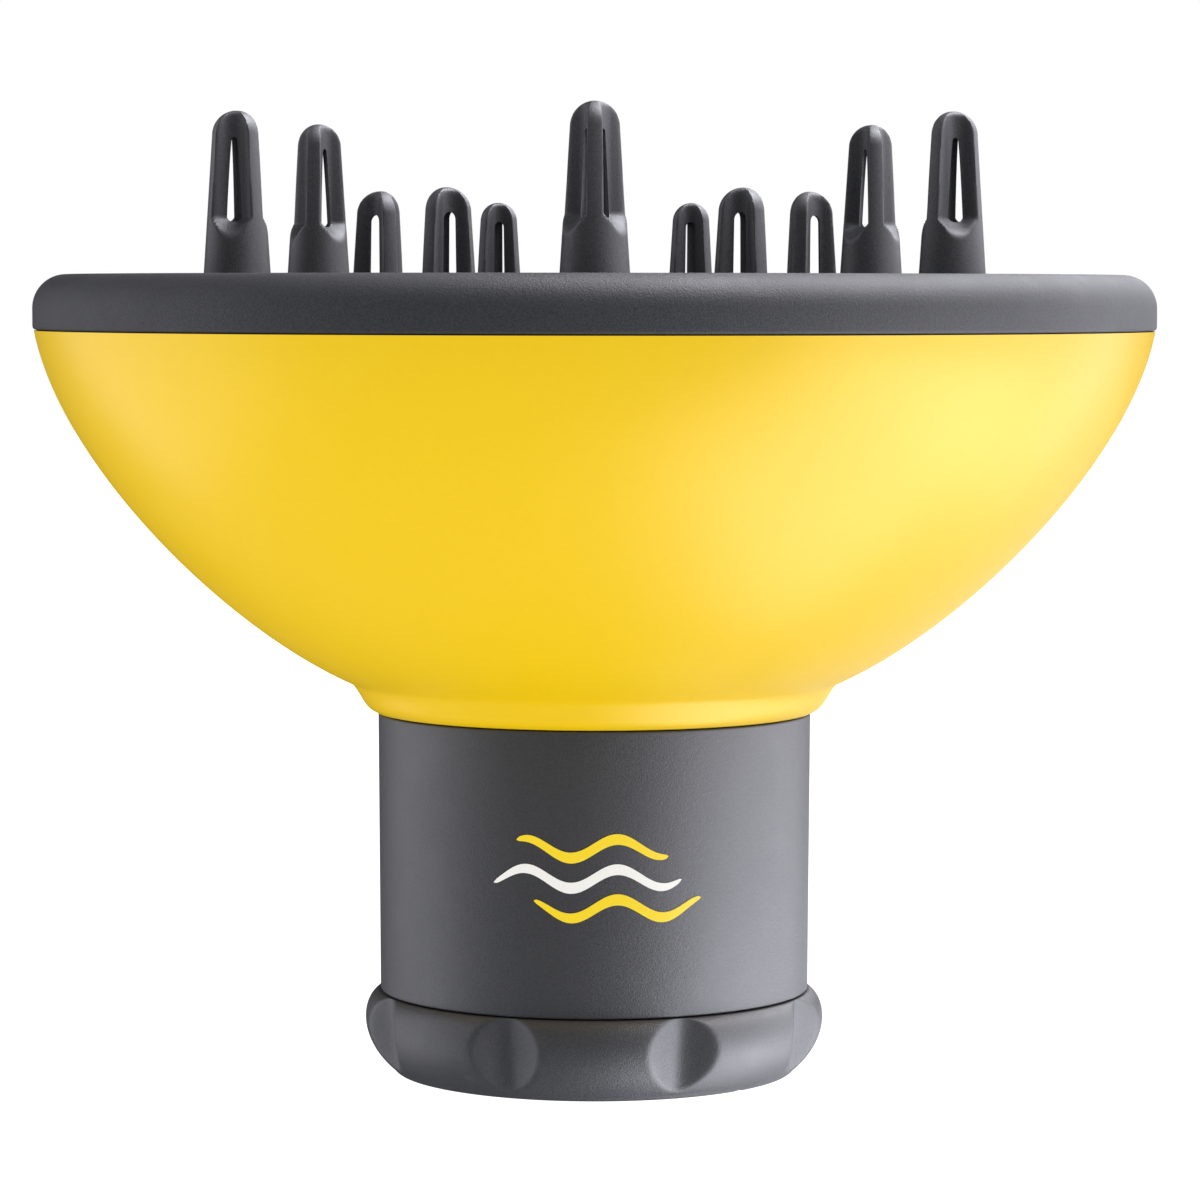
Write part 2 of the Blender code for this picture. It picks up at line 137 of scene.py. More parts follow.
def pale_floor(half, glow, strength):
    """A square floor that glows a little, so that it stays pale round the object's foot."""
    bm = bmesh.new()
    bmesh.ops.create_grid(bm, x_segments=1, y_segments=1, size=half)
    mesh = bpy.data.meshes.new("floor")
    bm.to_mesh(mesh)
    bm.free()
    look = bpy.data.materials.new("pale floor")
    look.use_nodes = True
    tree = look.node_tree
    paint = tree.nodes["Principled BSDF"]
    paint.inputs["Base Color"].default_value = (0.9, 0.9, 0.9, 1.0)
    paint.inputs["Roughness"].default_value = 0.9
    light = tree.nodes.new('ShaderNodeEmission')
    light.inputs["Strength"].default_value = strength
    both = mixed_shader(tree, glow, paint.outputs["BSDF"], light.outputs["Emission"])
    tree.links.new(both, tree.nodes["Material Output"].inputs["Surface"])
    mesh.materials.append(look)
    made = bpy.data.objects.new("floor", mesh)
    made.visible_glossy = False
    made.visible_shadow = False
    bpy.context.scene.collection.objects.link(made)


# %% Cards
def card(name, azimuth, height, distance, width, tall, brightness):
    """A tall soft box that shows only in the gloss; the azimuth is in degrees from the front."""
    data = bpy.data.lights.new(name, 'AREA')
    data.shape = 'RECTANGLE'
    data.size = width
    data.size_y = tall
    data.energy = brightness * math.pi * width * tall
    data.color = COOL
    made = bpy.data.objects.new(name, data)
    angle = math.radians(azimuth)
    place = Vector((distance * math.sin(angle), -distance * math.cos(angle), height))
    made.location = place
    made.rotation_euler = (MIDDLE - place).to_track_quat('-Z', 'Y').to_euler()
    made.visible_diffuse = False
    made.visible_camera = False
    bpy.context.scene.collection.objects.link(made)
    print(f"{name}: {width} x {tall} m at {azimuth} degrees, {height} m high")


MIDDLE = Vector((0.0, 0.0, 0.08))
COOL = (0.97, 0.965, 1.04)
bpy.context.scene.view_settings.view_transform = 'Standard'
white_tent(fill=0.75, seen=1.0)
pale_floor(half=3.0, glow=0.85, strength=1.42)
print("tent and floor are set")
card("card_right", azimuth=90, height=0.08, distance=0.9, width=1.7, tall=1.6, brightness=4.3)
card("card_left", azimuth=-100, height=0.08, distance=0.9, width=1.0, tall=1.4, brightness=2.2)
card("card_above", azimuth=95, height=0.90, distance=0.35, width=0.8, tall=0.6, brightness=26.0)
card("card_behind", azimuth=146, height=0.54, distance=0.8, width=0.7, tall=0.5, brightness=5.0)
card("card_low_behind", azimuth=146, height=-0.35, distance=0.8, width=0.8, tall=0.6, brightness=0.9)
card("card_below", azimuth=75, height=-0.50, distance=0.55, width=0.8, tall=0.8, brightness=7.0)

# %% [markdown]
# ## Shared surface effects
# Moulded plastic is never quite smooth. The charcoal parts come from a spark-eroded mould, which
# leaves an even, sandy grain a quarter of a millimetre across. All plastics also vary a little in
# gloss where hands have rubbed them. Each effect is one node group, and each material places it with
# its own size and strength.

# %% Node group helpers
def new_group(name, inputs, outputs):
    group = bpy.data.node_groups.new(name, 'ShaderNodeTree')
    for label, kind, value in inputs:
        socket = group.interface.new_socket(label, in_out='INPUT', socket_type=kind)
        if value is not None:
            socket.default_value = value
    for label, kind in outputs:
        group.interface.new_socket(label, in_out='OUTPUT', socket_type=kind)
    return group, group.nodes.new('NodeGroupInput'), group.nodes.new('NodeGroupOutput')


def maths(tree, operation, a, b):
    node = tree.nodes.new('ShaderNodeMath')
    node.operation = operation
    for socket, value in zip(node.inputs, (a, b)):
        if isinstance(value, (int, float)):
            socket.default_value = value
        else:
            tree.links.new(value, socket)
    return node.outputs[0]


def noise(tree, vector, scale, detail, roughness=0.5):
    node = tree.nodes.new('ShaderNodeTexNoise')
    node.inputs["Detail"].default_value = detail
    node.inputs["Roughness"].default_value = roughness
    tree.links.new(vector, node.inputs["Vector"])
    if isinstance(scale, (int, float)):
        node.inputs["Scale"].default_value = scale
    else:
        tree.links.new(scale, node.inputs["Scale"])
    return node.outputs["Fac"]


def ramp(tree, value, low, high):
    node = tree.nodes.new('ShaderNodeMapRange')
    node.interpolation_type = 'SMOOTHSTEP'
    node.inputs["From Min"].default_value = low
    node.inputs["From Max"].default_value = high
    tree.links.new(value, node.inputs["Value"])
    return node.outputs["Result"]


# %% Grain of a spark-eroded mould
def grain_group():
    group, start, end = new_group(
        "Mould grain",
        [("Vector", 'NodeSocketVector', None), ("Grains per metre", 'NodeSocketFloat', 2400.0)],
        [("Height", 'NodeSocketFloat'), ("Speckle", 'NodeSocketFloat')])
    fine = noise(group, start.outputs["Vector"], start.outputs["Grains per metre"], 2.0, 0.6)
    coarse = noise(group, start.outputs["Vector"],
                   maths(group, 'MULTIPLY', start.outputs["Grains per metre"], 0.41), 1.0)
    height = maths(group, 'ADD', fine, maths(group, 'MULTIPLY', coarse, 0.5))
    group.links.new(height, end.inputs["Height"])
    group.links.new(ramp(group, fine, 0.30, 0.72), end.inputs["Speckle"])
    return group


GRAIN = grain_group()
print("group:", GRAIN.name)

# %% Handling marks
def handling_group():
    group, start, end = new_group(
        "Handling", [("Vector", 'NodeSocketVector', None)],
        [("Rubbed", 'NodeSocketFloat'), ("Smudge", 'NodeSocketFloat')])
    broad = noise(group, start.outputs["Vector"], 28.0, 3.0)
    close = noise(group, start.outputs["Vector"], 190.0, 4.0, 0.62)
    group.links.new(ramp(group, broad, 0.38, 0.68), end.inputs["Rubbed"])
    group.links.new(ramp(group, close, 0.45, 0.75), end.inputs["Smudge"])
    return group


HANDLING = handling_group()
print("group:", HANDLING.name)

# %% Worn edges
def edge_group():
    """Convex edges of a moulding polish first; Pointiness finds them on a fine mesh."""
    group, start, end = new_group(
        "Worn edges", [("Vector", 'NodeSocketVector', None)], [("Edge", 'NodeSocketFloat')])
    shape = group.nodes.new('ShaderNodeNewGeometry')
    edge = ramp(group, shape.outputs["Pointiness"], 0.515, 0.60)
    broken = ramp(group, noise(group, start.outputs["Vector"], 420.0, 3.0), 0.35, 0.65)
    group.links.new(maths(group, 'MULTIPLY', edge, broken), end.inputs["Edge"])
    return group


EDGES = edge_group()
print("group:", EDGES.name)

# %% [markdown]
# ## Materials
# Each finish starts from one colour. A second colour is mixed in along the speckle and the worn
# edges, the gloss follows the handling marks, and the grain feeds a Bump node. The colours are
# linear values of dull, even light on the real plastic, except the prongs' charcoal, which is painted
# lighter to stand in for the light from above.

# %% Moulded plastic
def mixed(tree, first, second, factor):
    node = tree.nodes.new('ShaderNodeMix')
    node.data_type = 'RGBA'
    for socket, value in ((node.inputs["A"], first), (node.inputs["B"], second)):
        if isinstance(value, tuple):
            socket.default_value = value
        else:
            tree.links.new(value, socket)
    tree.links.new(factor, node.inputs["Factor"])
    return node.outputs["Result"]


def place_group(tree, group, vector, **values):
    node = tree.nodes.new('ShaderNodeGroup')
    node.node_tree = group
    tree.links.new(vector, node.inputs["Vector"])
    for label, value in values.items():
        node.inputs[label.replace("_", " ").capitalize()].default_value = value
    return node


def gloss_range(tree, factor, low, high):
    node = tree.nodes.new('ShaderNodeMapRange')
    node.inputs["To Min"].default_value = low
    node.inputs["To Max"].default_value = high
    tree.links.new(factor, node.inputs["Value"])
    return node.outputs["Result"]


SPECKLE_SHARE = 0.6
EDGE_SHARE = 0.7


def moulded(name, colour, lighter, gloss, grain, depth, metallic=0.0, specular=0.5):
    """A moulded finish: base colour, its lighter speckle, roughness range, grain size and depth."""
    made = bpy.data.materials.new(name)
    made.use_nodes = True
    tree = made.node_tree
    shader = tree.nodes["Principled BSDF"]
    where = tree.nodes.new('ShaderNodeTexCoord').outputs["Object"]
    sand = place_group(tree, GRAIN, where, grains_per_metre=grain)
    hands = place_group(tree, HANDLING, where)
    edges = place_group(tree, EDGES, where)
    speck = mixed(tree, colour, lighter, maths(tree, 'MULTIPLY', sand.outputs["Speckle"], SPECKLE_SHARE))
    body = mixed(tree, speck, lighter, maths(tree, 'MULTIPLY', edges.outputs["Edge"], EDGE_SHARE))
    tree.links.new(body, shader.inputs["Base Color"])
    worn = maths(tree, 'ADD', maths(tree, 'MULTIPLY', hands.outputs["Rubbed"], 0.6),
                 maths(tree, 'MULTIPLY', hands.outputs["Smudge"], 0.4))
    tree.links.new(gloss_range(tree, worn, *gloss), shader.inputs["Roughness"])
    bump = tree.nodes.new('ShaderNodeBump')
    bump.inputs["Strength"].default_value = 1.0
    bump.inputs["Distance"].default_value = depth
    tree.links.new(sand.outputs["Height"], bump.inputs["Height"])
    tree.links.new(bump.outputs["Normal"], shader.inputs["Normal"])
    shader.inputs["Metallic"].default_value = metallic
    shader.inputs["Specular IOR Level"].default_value = specular
    return made


def rgb(red, green, blue):
    return (red, green, blue, 1.0)


CHARCOAL = moulded("charcoal plastic", rgb(0.022, 0.023, 0.027), rgb(0.048, 0.049, 0.055),
                   gloss=(0.64, 0.54), grain=4200.0, depth=0.00005, specular=0.26)
# Painted light: the prongs' charcoal is the face's charcoal plastic painted lighter, standing in for the
# light from above that falls on the prongs.
PRONG_GREY_PAINTED_LIGHTER = moulded("charcoal plastic on the prongs", rgb(0.026, 0.027, 0.032), rgb(0.056, 0.057, 0.064),
                     gloss=(0.60, 0.50), grain=4200.0, depth=0.00003, specular=0.46)
SATIN_GREY = moulded("satin charcoal plastic", rgb(0.028, 0.030, 0.037), rgb(0.052, 0.054, 0.063),
                     gloss=(0.54, 0.46), grain=4600.0, depth=0.000045, specular=0.58)
YELLOW = moulded("yellow plastic", rgb(0.80, 0.523, 0.0), rgb(0.815, 0.535, 0.0),
                 gloss=(0.40, 0.33), grain=900.0, depth=0.0000015, specular=0.20)
STEEL = moulded("zinc plated steel", rgb(0.55, 0.56, 0.58), rgb(0.72, 0.73, 0.74),
                gloss=(0.38, 0.28), grain=3000.0, depth=0.000008, metallic=1.0)
NYLON = moulded("glass filled nylon", rgb(0.20, 0.20, 0.21), rgb(0.33, 0.33, 0.34),
                gloss=(0.62, 0.48), grain=2200.0, depth=0.00004)
YELLOW_INK = moulded("yellow ink", rgb(0.90, 0.66, 0.0), rgb(0.93, 0.70, 0.02),
                     gloss=(0.50, 0.42), grain=4000.0, depth=0.000006, specular=0.3)
WHITE_INK = moulded("white ink", rgb(0.84, 0.84, 0.83), rgb(0.92, 0.92, 0.91),
                    gloss=(0.50, 0.42), grain=4000.0, depth=0.000006, specular=0.3)
RUBBER = moulded("silicone rubber", rgb(0.012, 0.012, 0.013), rgb(0.03, 0.03, 0.032),
                 gloss=(0.8, 0.68), grain=3200.0, depth=0.00003)
FINISHES = (CHARCOAL, PRONG_GREY_PAINTED_LIGHTER, SATIN_GREY, YELLOW, STEEL, NYLON, YELLOW_INK, WHITE_INK, RUBBER)
print("materials:", [finish.name for finish in FINISHES])

# %% [markdown]
# ## Turning and cutting
# Bowl, neck, ring and face are all turned shapes, so each is half an outline spun about Z. A rounded
# corner is a short arc and a long sweep is a Bezier curve, so an outline has only the points that
# its shape needs. Where a hole crosses a turned surface, Booleans cut it, and the cutters are removed
# once the result is kept.

# %% Outline helpers
def arc(centre, radius, start, end, steps):
    points = []
    for step in range(steps + 1):
        angle = math.radians(start + (end - start) * step / steps)
        points.append((centre[0] + radius * math.cos(angle), centre[1] + radius * math.sin(angle)))
    return points


def curve(p0, p1, p2, p3, steps):
    points = []
    for step in range(steps + 1):
        t = step / steps
        a, b, c, d = (1 - t) ** 3, 3 * t * (1 - t) ** 2, 3 * t * t * (1 - t), t ** 3
        along = [a * q0 + b * q1 + c * q2 + d * q3 for q0, q1, q2, q3 in zip(p0, p1, p2, p3)]
        points.append(tuple(along))
    return points


MOST_OF_A_SIDE = 0.45


def rounded(outline, radius, steps=4):
    """Swap each corner of a closed outline for a small arc-like curve."""
    made = []
    for index, corner in enumerate(outline):
        here = Vector(corner)
        before, after = Vector(outline[index - 1]), Vector(outline[(index + 1) % len(outline)])
        turn = (here - before).angle(after - here, 0.0)
        reach = min(radius, MOST_OF_A_SIDE * min((before - here).length, (after - here).length))
        if turn < math.radians(25) or reach < 0.02:
            made.append(corner)
            continue
        start = here + (before - here).normalized() * reach
        end = here + (after - here).normalized() * reach
        for step in range(steps + 1):
            t = step / steps
            made.append(tuple(start * (1 - t) ** 2 + here * 2 * t * (1 - t) + end * t * t))
    return made


def spun(outline, segments):
    """Spin a closed outline of (radius, height) points, in millimetres, about Z."""
    bm = bmesh.new()
    verts = [bm.verts.new((r, 0.0, z)) for r, z in outline]
    edges = [bm.edges.new((a, b)) for a, b in zip(verts, verts[1:] + verts[:1])]
    bmesh.ops.spin(bm, geom=verts + edges, cent=(0, 0, 0), axis=(0, 0, 1), angle=math.tau,
                   steps=segments, use_merge=True)
    bmesh.ops.remove_doubles(bm, verts=bm.verts, dist=1e-4)
    bmesh.ops.dissolve_degenerate(bm, dist=1e-5, edges=bm.edges)
    bmesh.ops.recalc_face_normals(bm, faces=bm.faces)
    return bm


def piece(name, bm, look, body="root", stands_for=(), sharp=40.0):
    """Finish a bmesh in millimetres as a smooth-shaded piece that rides on a body."""
    bmesh.ops.scale(bm, vec=(MM, MM, MM), verts=bm.verts)
    mesh = bpy.data.meshes.new(name)
    bm.to_mesh(mesh)
    bm.free()
    mesh.shade_smooth()
    mesh.set_sharp_from_angle(angle=math.radians(sharp))
    mesh.materials.append(look)
    made = bpy.data.objects.new(name, mesh)
    bpy.context.scene.collection.objects.link(made)
    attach(made, body)
    if stands_for:
        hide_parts(*stands_for)
    print(f"{name}: {len(mesh.polygons)} faces on {body}")
    return made


# %% Cutting helper
def scratch(name, bm):
    """A plain object in millimetres, for use as a cutter or before its modifiers are applied."""
    mesh = bpy.data.meshes.new(name)
    bm.to_mesh(mesh)
    bm.free()
    made = bpy.data.objects.new(name, mesh)
    bpy.context.scene.collection.objects.link(made)
    return made


def carve(blank, cutters):
    """Cut the blank with each cutter and return the result."""
    for cutter in cutters:
        modifier = blank.modifiers.new(cutter.name, 'BOOLEAN')
        modifier.operation = 'DIFFERENCE'
        modifier.object = cutter
        modifier.solver = 'EXACT'
    bpy.context.view_layer.update()
    ready = blank.evaluated_get(bpy.context.evaluated_depsgraph_get())
    mesh = bpy.data.meshes.new_from_object(ready)
    bm = bmesh.new()
    bm.from_mesh(mesh)
    bpy.data.meshes.remove(mesh)
    for item in [blank, *cutters]:
        bpy.data.objects.remove(item, do_unlink=True)
    return bm


# %% [markdown]
# ## Bowl
# One injection-moulded shell. Its side is a single sweep that is nearly upright under the rim and
# flattens towards the neck, where it turns sharply into a small hollow-sided collar.

# %% Bowl
BOWL_WALL = 2.2
SHOULDER = (35.3, SEAM - 50.6)  # radius and height of the corner above the collar


def bowl_side(inset, steps):
    """The bowl's side from the seam to the shoulder, moved inwards by an inset."""
    start = (BOWL_RADIUS - inset, SEAM - 0.08)
    end = (SHOULDER[0] - inset * 0.45, SHOULDER[1] + inset * 0.9)
    upright = (76.6 - inset, SEAM - 18.8)
    sloping = (53.6 - inset * 0.7, SEAM - 42.4 + inset * 0.7)
    return curve(start, upright, sloping, end, steps)


def bowl_outline():
    outer = bowl_side(0.0, 44)
    corner = (SHOULDER[0] - 0.35, SHOULDER[1] - 0.28)
    lip = (31.9, COLLAR_Z + 0.25)
    collar = curve(corner, (33.6, COLLAR_Z + 2.5), (33.4, COLLAR_Z + 0.9), lip, 14)
    foot = [(31.6, COLLAR_Z + 0.08), (31.2, COLLAR_Z)]
    throat = [(28.2, COLLAR_Z), (28.2, COLLAR_Z + 2.6), (33.5, COLLAR_Z + 2.9)]
    return outer + collar + foot + throat + bowl_side(BOWL_WALL, 30)[::-1]


piece("bowl", spun(bowl_outline(), 288), YELLOW, stands_for=("bowl_shell",))

# %% [markdown]
# ## Neck
# A straight sleeve with a shelf inside that stops the dryer's barrel, a snap bead for the ring below
# and a flange inside the bowl above. The outside has a barely visible moulding draft.

# %% Neck
NECK_RADIUS = 31.2       # at its top
DRAFT = 0.0065           # loss of radius per millimetre down
THROAT = 24.9            # radius that the dryer's barrel passes
JAW_ROOM = THROAT + 2.8  # radius of the hollow round the jaws
NECK_STEP = RING_TOP + 0.15
BARREL_STOP = 36.0       # height of the shelf that stops the barrel
DUCT = 26.3
FLANGE = 32.4
FLANGE_Z = COLLAR_Z + 3.2


def neck_radius(z):
    return NECK_RADIUS - DRAFT * (NECK_TOP - z)


def neck_outline():
    """Down the outside to the snap bead, up the barrel's socket and the duct, and round the flange."""
    outside = [(neck_radius(NECK_TOP), NECK_TOP), (neck_radius(NECK_STEP), NECK_STEP), (28.7, NECK_STEP)]
    bead = [(28.7, 8.8), (29.4, 8.6), (29.6, 7.4), (29.1, 6.9), (JAW_ROOM, 6.9)]
    socket = [(JAW_ROOM, 13.0), (THROAT, 13.0), (THROAT, 15.0), (28.9, 17.0), (28.9, BARREL_STOP)]
    duct = [(23.5, BARREL_STOP), (23.5, BARREL_STOP + 2.0), (DUCT, BARREL_STOP + 5.0)]
    duct.append((DUCT, FLANGE_Z + 1.8))
    flange = [(FLANGE, FLANGE_Z + 1.8), (FLANGE, FLANGE_Z), (27.9, FLANGE_Z), (27.9, NECK_TOP)]
    return rounded(outside + bead + socket + duct + flange, 0.35)


piece("neck", spun(neck_outline(), 192), SATIN_GREY, stands_for=("neck_sleeve",))

# %% [markdown]
# ## Printed mark
# Pad printing leaves a film of ink a few hundredths of a millimetre thick. The mark is a plain sign
# for moving air, three wavy strokes. Each is a grid with a thin extrusion, bent into a wave that
# tapers at both ends and wrapped round the neck.

# %% Printed waves
NECK_MARK_Z = 31.5
INK_THICK = 0.05
INK_LIFT = 0.01          # keeps the film's back off the plastic
STROKE_WIDTH = 1.55
STROKE_BLUNT = 0.35      # low values keep the width nearly to the ends
STROKE_END = 0.05
WAVE_LENGTH = 13.0
WAVE_SWING = 1.3
# name, ink, height above the mark's middle, start and length along the neck
WAVES = (
    ("wave_top", YELLOW_INK, 4.2, -11.0, 21.5),
    ("wave_middle", WHITE_INK, 0.0, -14.5, 27.0),
    ("wave_bottom", YELLOW_INK, -4.2, -8.5, 24.0),
)


def ink_stroke(height, start, length):
    """A wavy stroke on the front of the neck; start and length run along the neck's surface."""
    bm = bmesh.new()
    bmesh.ops.create_grid(bm, x_segments=64, y_segments=2, size=0.5)
    film = bmesh.ops.extrude_face_region(bm, geom=bm.faces[:], use_keep_orig=True)
    raised = [item for item in film["geom"] if isinstance(item, bmesh.types.BMVert)]
    bmesh.ops.translate(bm, vec=(0, 0, INK_THICK), verts=raised)
    for vert in bm.verts:
        along = vert.co.x + 0.5
        taper = (4 * along * (1 - along)) ** STROKE_BLUNT if 0 < along < 1 else STROKE_END
        turn = (start + length * along) / NECK_RADIUS
        wave = WAVE_SWING * math.sin(math.tau * (start + length * along) / WAVE_LENGTH)
        z = NECK_MARK_Z + height + wave + vert.co.y * STROKE_WIDTH * taper
        radius = neck_radius(z) + INK_LIFT + vert.co.z
        vert.co = (radius * math.sin(turn), -radius * math.cos(turn), z)
    bmesh.ops.recalc_face_normals(bm, faces=bm.faces)
    return bm


for name, ink, height, start, length in WAVES:
    piece(name, ink_stroke(height, start, length), ink, sharp=60)

# %% [markdown]
# ## Lock ring
# The ring is turned like the others, and then eight finger scoops are pressed into it. A scoop is an
# upright V groove with a rounded floor. Taking the smaller of the ring's own radius and the groove's,
# with a soft change between them, gives the scoop its round outline and a gentle edge, by moving
# whole vertices. Only the wells of the three screws under the ring are cut.

# %% Lock ring
SCOOPS = 8
SCOOP_SLOPE = 0.68       # steepness of the V's sides
SCOOP_FLOOR = 2.0        # roundness of its floor
SCOOP_FOOT = 29.95       # the floor's radius at the ring's foot
SCOOP_LEAN = 1.15        # ... and how much more it is at the top
SCOOP_EDGE = 0.16
RING_BORE = 29.92        # points nearer to the axis are inside the ring
WELL_RADIUS = 1.62
WELL_DEPTH = 1.02


def ring_outline():
    top = RING_TOP
    side = curve((31.25, top), (33.9, 10.2), (34.2, 4.6), (29.2, 0.5), 48)
    foot = [(29.0, 0.24), (28.75, 0.06), (28.5, 0.0), (25.6, 0.0), (25.3, 0.12), (25.2, 0.4)]
    bore = [(25.2, 2.3), (29.9, 2.3), (29.9, 8.3), (29.05, 9.1)]
    return [(29.05, top), (30.9, top)] + side + foot + bore


def softer_minimum(a, b, blend):
    """The smaller of two values, eased where they are within the blend of each other."""
    share = max(blend - abs(a - b), 0.0) / blend
    return min(a, b) - share * share * blend * 0.25


def press_scoops(bm):
    spacing = math.tau / SCOOPS
    for vert in bm.verts:
        radius = math.hypot(vert.co.x, vert.co.y)
        if radius < RING_BORE:
            continue
        angle = math.atan2(vert.co.x, -vert.co.y)
        off = (angle - spacing / 2) % spacing
        aside = radius * math.sin(min(off, spacing - off))
        floor_radius = SCOOP_FOOT + SCOOP_LEAN * vert.co.z / RING_TOP
        groove = floor_radius + SCOOP_SLOPE * (math.hypot(aside, SCOOP_FLOOR) - SCOOP_FLOOR)
        pressed = softer_minimum(radius, groove, SCOOP_EDGE)
        vert.co.x *= pressed / radius
        vert.co.y *= pressed / radius


def screw_wells():
    """Plugs for the three wells that the cam plate's screws sit in, half above the ring's foot."""
    bm = bmesh.new()
    for number in (1, 2, 3):
        low, high = node_box(f"cam_screw_{number}")
        place = Matrix.Translation(((low.x + high.x) / 2, (low.y + high.y) / 2, 0.0))
        bmesh.ops.create_cone(bm, cap_ends=True, segments=40, radius1=WELL_RADIUS, radius2=WELL_RADIUS,
                              depth=2 * WELL_DEPTH, matrix=place)
    return bm


ring_bm = spun(ring_outline(), 384)
press_scoops(ring_bm)
ring_bm = carve(scratch("ring_blank", ring_bm), [scratch("wells", screw_wells())])
piece("ring", ring_bm, SATIN_GREY, body="ring", stands_for=("lock_ring",))

# %% [markdown]
# ## Face
# The rim cap, the dish and its air holes are one moulding. The rim and dish are turned, and the
# holes and the places of the prongs are cut by Booleans, because they cross the turned surface at
# many angles. Each cutter has a small flare at its top, which leaves a softened mouth on the hole.

# %% Face sizes
RIM_TOP = SEAM + 7.9
RIM_ROUND = 4.8          # radius of the outer top corner
RIM_INNER = 73.4         # where the rim meets the dish
SPIGOT_DEPTH = 3.5       # how far the face reaches into the bowl
DISH_EDGE = SEAM + 3.2
DISH_DEPTH = 11.0
DISH_WALL = 2.2
PRONG_TIP = 3.42         # radius of a prong's dome
PRONG_HOLE_SPARE = 1.2
HOLE_FLARE = 0.45
HOLE_MARGIN = 3.2        # least gap between an air hole and a prong
THROUGH = 8.0            # how far a cutter passes below the dish
TALL_RING = 53.3
# ring radius, angles from the front, height of the tips above the seam, size
PRONG_RINGS = (
    (TALL_RING, (0.0, 69.5, 128.5, 180.0, -128.5, -69.5), 30.6, 1.0),
    (31.0, (41.5, 95.0, 180.0, -95.0, -41.5), 19.9, 1.0),
    (17.0, (53.4, 180.0, -53.4), 18.0, 0.78),
)
# ring radius, number of holes, radius of a hole
HOLE_RINGS = ((7.5, 6, 1.9), (24.0, 10, 2.0), (42.0, 14, 2.2), (65.5, 24, 2.2))


def polar(radius, degrees, z=0.0):
    angle = math.radians(degrees)
    return Vector((radius * math.sin(angle), -radius * math.cos(angle), z))


def dish_height(radius):
    return DISH_EDGE - DISH_DEPTH * (1 - (radius / RIM_INNER) ** 2)


def each_prong():
    """Ring radius, angle and size of every prong."""
    return [(ring, angle, size) for ring, angles, tip, size in PRONG_RINGS for angle in angles]


def clear_of_prongs(at, radius):
    for ring, angle, size in each_prong():
        if (at - polar(ring, angle)).length <= radius + HOLE_MARGIN + PRONG_TIP * size:
            return False
    return True


# %% Rim and dish
def face_outline():
    inside = BOWL_RADIUS - BOWL_WALL - 0.3
    foot = SEAM - SPIGOT_DEPTH
    spigot = [(inside - 2.8, foot), (inside - 0.9, foot), (inside - 0.2, SEAM + 0.03)]
    edge = [(RIM_RADIUS - 0.55, SEAM + 0.03), (RIM_RADIUS - 0.3, SEAM + 0.08),
            (RIM_RADIUS - 0.08, SEAM + 0.26), (RIM_RADIUS, SEAM + 0.55)]
    rim = spigot + edge + arc((RIM_RADIUS - RIM_ROUND, RIM_TOP - RIM_ROUND), RIM_ROUND, 0, 90, 20)
    rim += curve((RIM_INNER + 0.9, RIM_TOP - 0.02), (RIM_INNER + 0.1, RIM_TOP - 0.1),
                 (RIM_INNER, RIM_TOP - 0.6), (RIM_INNER, RIM_TOP - 1.2), 5)
    rim += curve((RIM_INNER, DISH_EDGE + 1.4), (RIM_INNER - 0.1, DISH_EDGE + 0.5),
                 (RIM_INNER - 0.5, DISH_EDGE), (RIM_INNER - 1.6, dish_height(RIM_INNER - 1.6)), 5)
    rings = [70.0 - 3.5 * step for step in range(21)]
    dish = [(radius, dish_height(radius)) for radius in rings]
    under = [(radius, dish_height(radius) - DISH_WALL) for radius in reversed(rings)]
    return rim + dish + under + [(RIM_INNER + 1.5, DISH_EDGE - DISH_WALL - 0.4)]


def hole_cutters(segments):
    """Flared plugs for the air holes, and plain ones for the prongs."""
    bm = bmesh.new()
    plugs = [(ring, angle, PRONG_TIP * size + PRONG_HOLE_SPARE, 0.0) for ring, angle, size in each_prong()]
    for ring, count, radius in HOLE_RINGS:
        for number in range(count):
            angle = 360.0 * (number + 0.5) / count
            if clear_of_prongs(polar(ring, angle), radius):
                plugs.append((ring, angle, radius, HOLE_FLARE))
    for ring, angle, radius, flare in plugs:
        top = dish_height(ring)
        outline = [(0.0, top - THROUGH), (radius, top - THROUGH), (radius, top - 0.5),
                   (radius + flare, top + 0.25), (radius + flare, top + 4), (0.0, top + 4)]
        plug = spun(outline, segments)
        bmesh.ops.translate(plug, vec=polar(ring, angle), verts=plug.verts)
        mesh = bpy.data.meshes.new("plug")
        plug.to_mesh(mesh)
        plug.free()
        bm.from_mesh(mesh)
        bpy.data.meshes.remove(mesh)
    return bm


# %% [markdown]
# ## Prongs
# A prong is a tapered tube with a domed tip. Three round channels run down it from the tip, and
# where a channel meets the hollow inside it opens into a slot, so warm air leaves along the hair.
# The channels of the tall outer prongs stop in a sloping ledge, and those of the short ones run
# down to the dish. The prong is turned first, and its vertices are pressed in to the channels' walls
# with the soft minimum that made the scoops, which rounds the ribs' edges. A Boolean then drills
# the hollow, and the slots open by themselves where it breaks through.

# %% Prong sizes
PRONG_TAPER = 0.065      # growth of the radius per millimetre down
CORE_TIP = 1.4           # radius of the hollow at its top
CORE_TAPER = 0.045
SHORT_CORE_TIP = 1.68
SHORT_CORE_TAPER = 0.012
CHANNEL = 2.2            # radius of a channel
CHANNEL_OUT = 3.5        # distance of its middle from the prong's axis
TALL_CHANNEL = 14.8      # straight length of a channel on a tall prong
LEDGE_SLOPE = 1.6
RIB_EDGE = 1.1           # softness of the ribs' edges
CROWN = 2.8              # solid material above the hollow


def prong_side(tip, radius, foot, steps, taper, rows=1):
    """Half outline from the tip of a dome down a tapered side to its foot."""
    shoulder = tip - radius
    side = []
    for row in range(1, rows + 1):
        down = (shoulder - foot) * row / rows
        side.append((radius + taper * down, shoulder - down))
    return arc((0.0, shoulder), radius, 90, 0, steps) + side


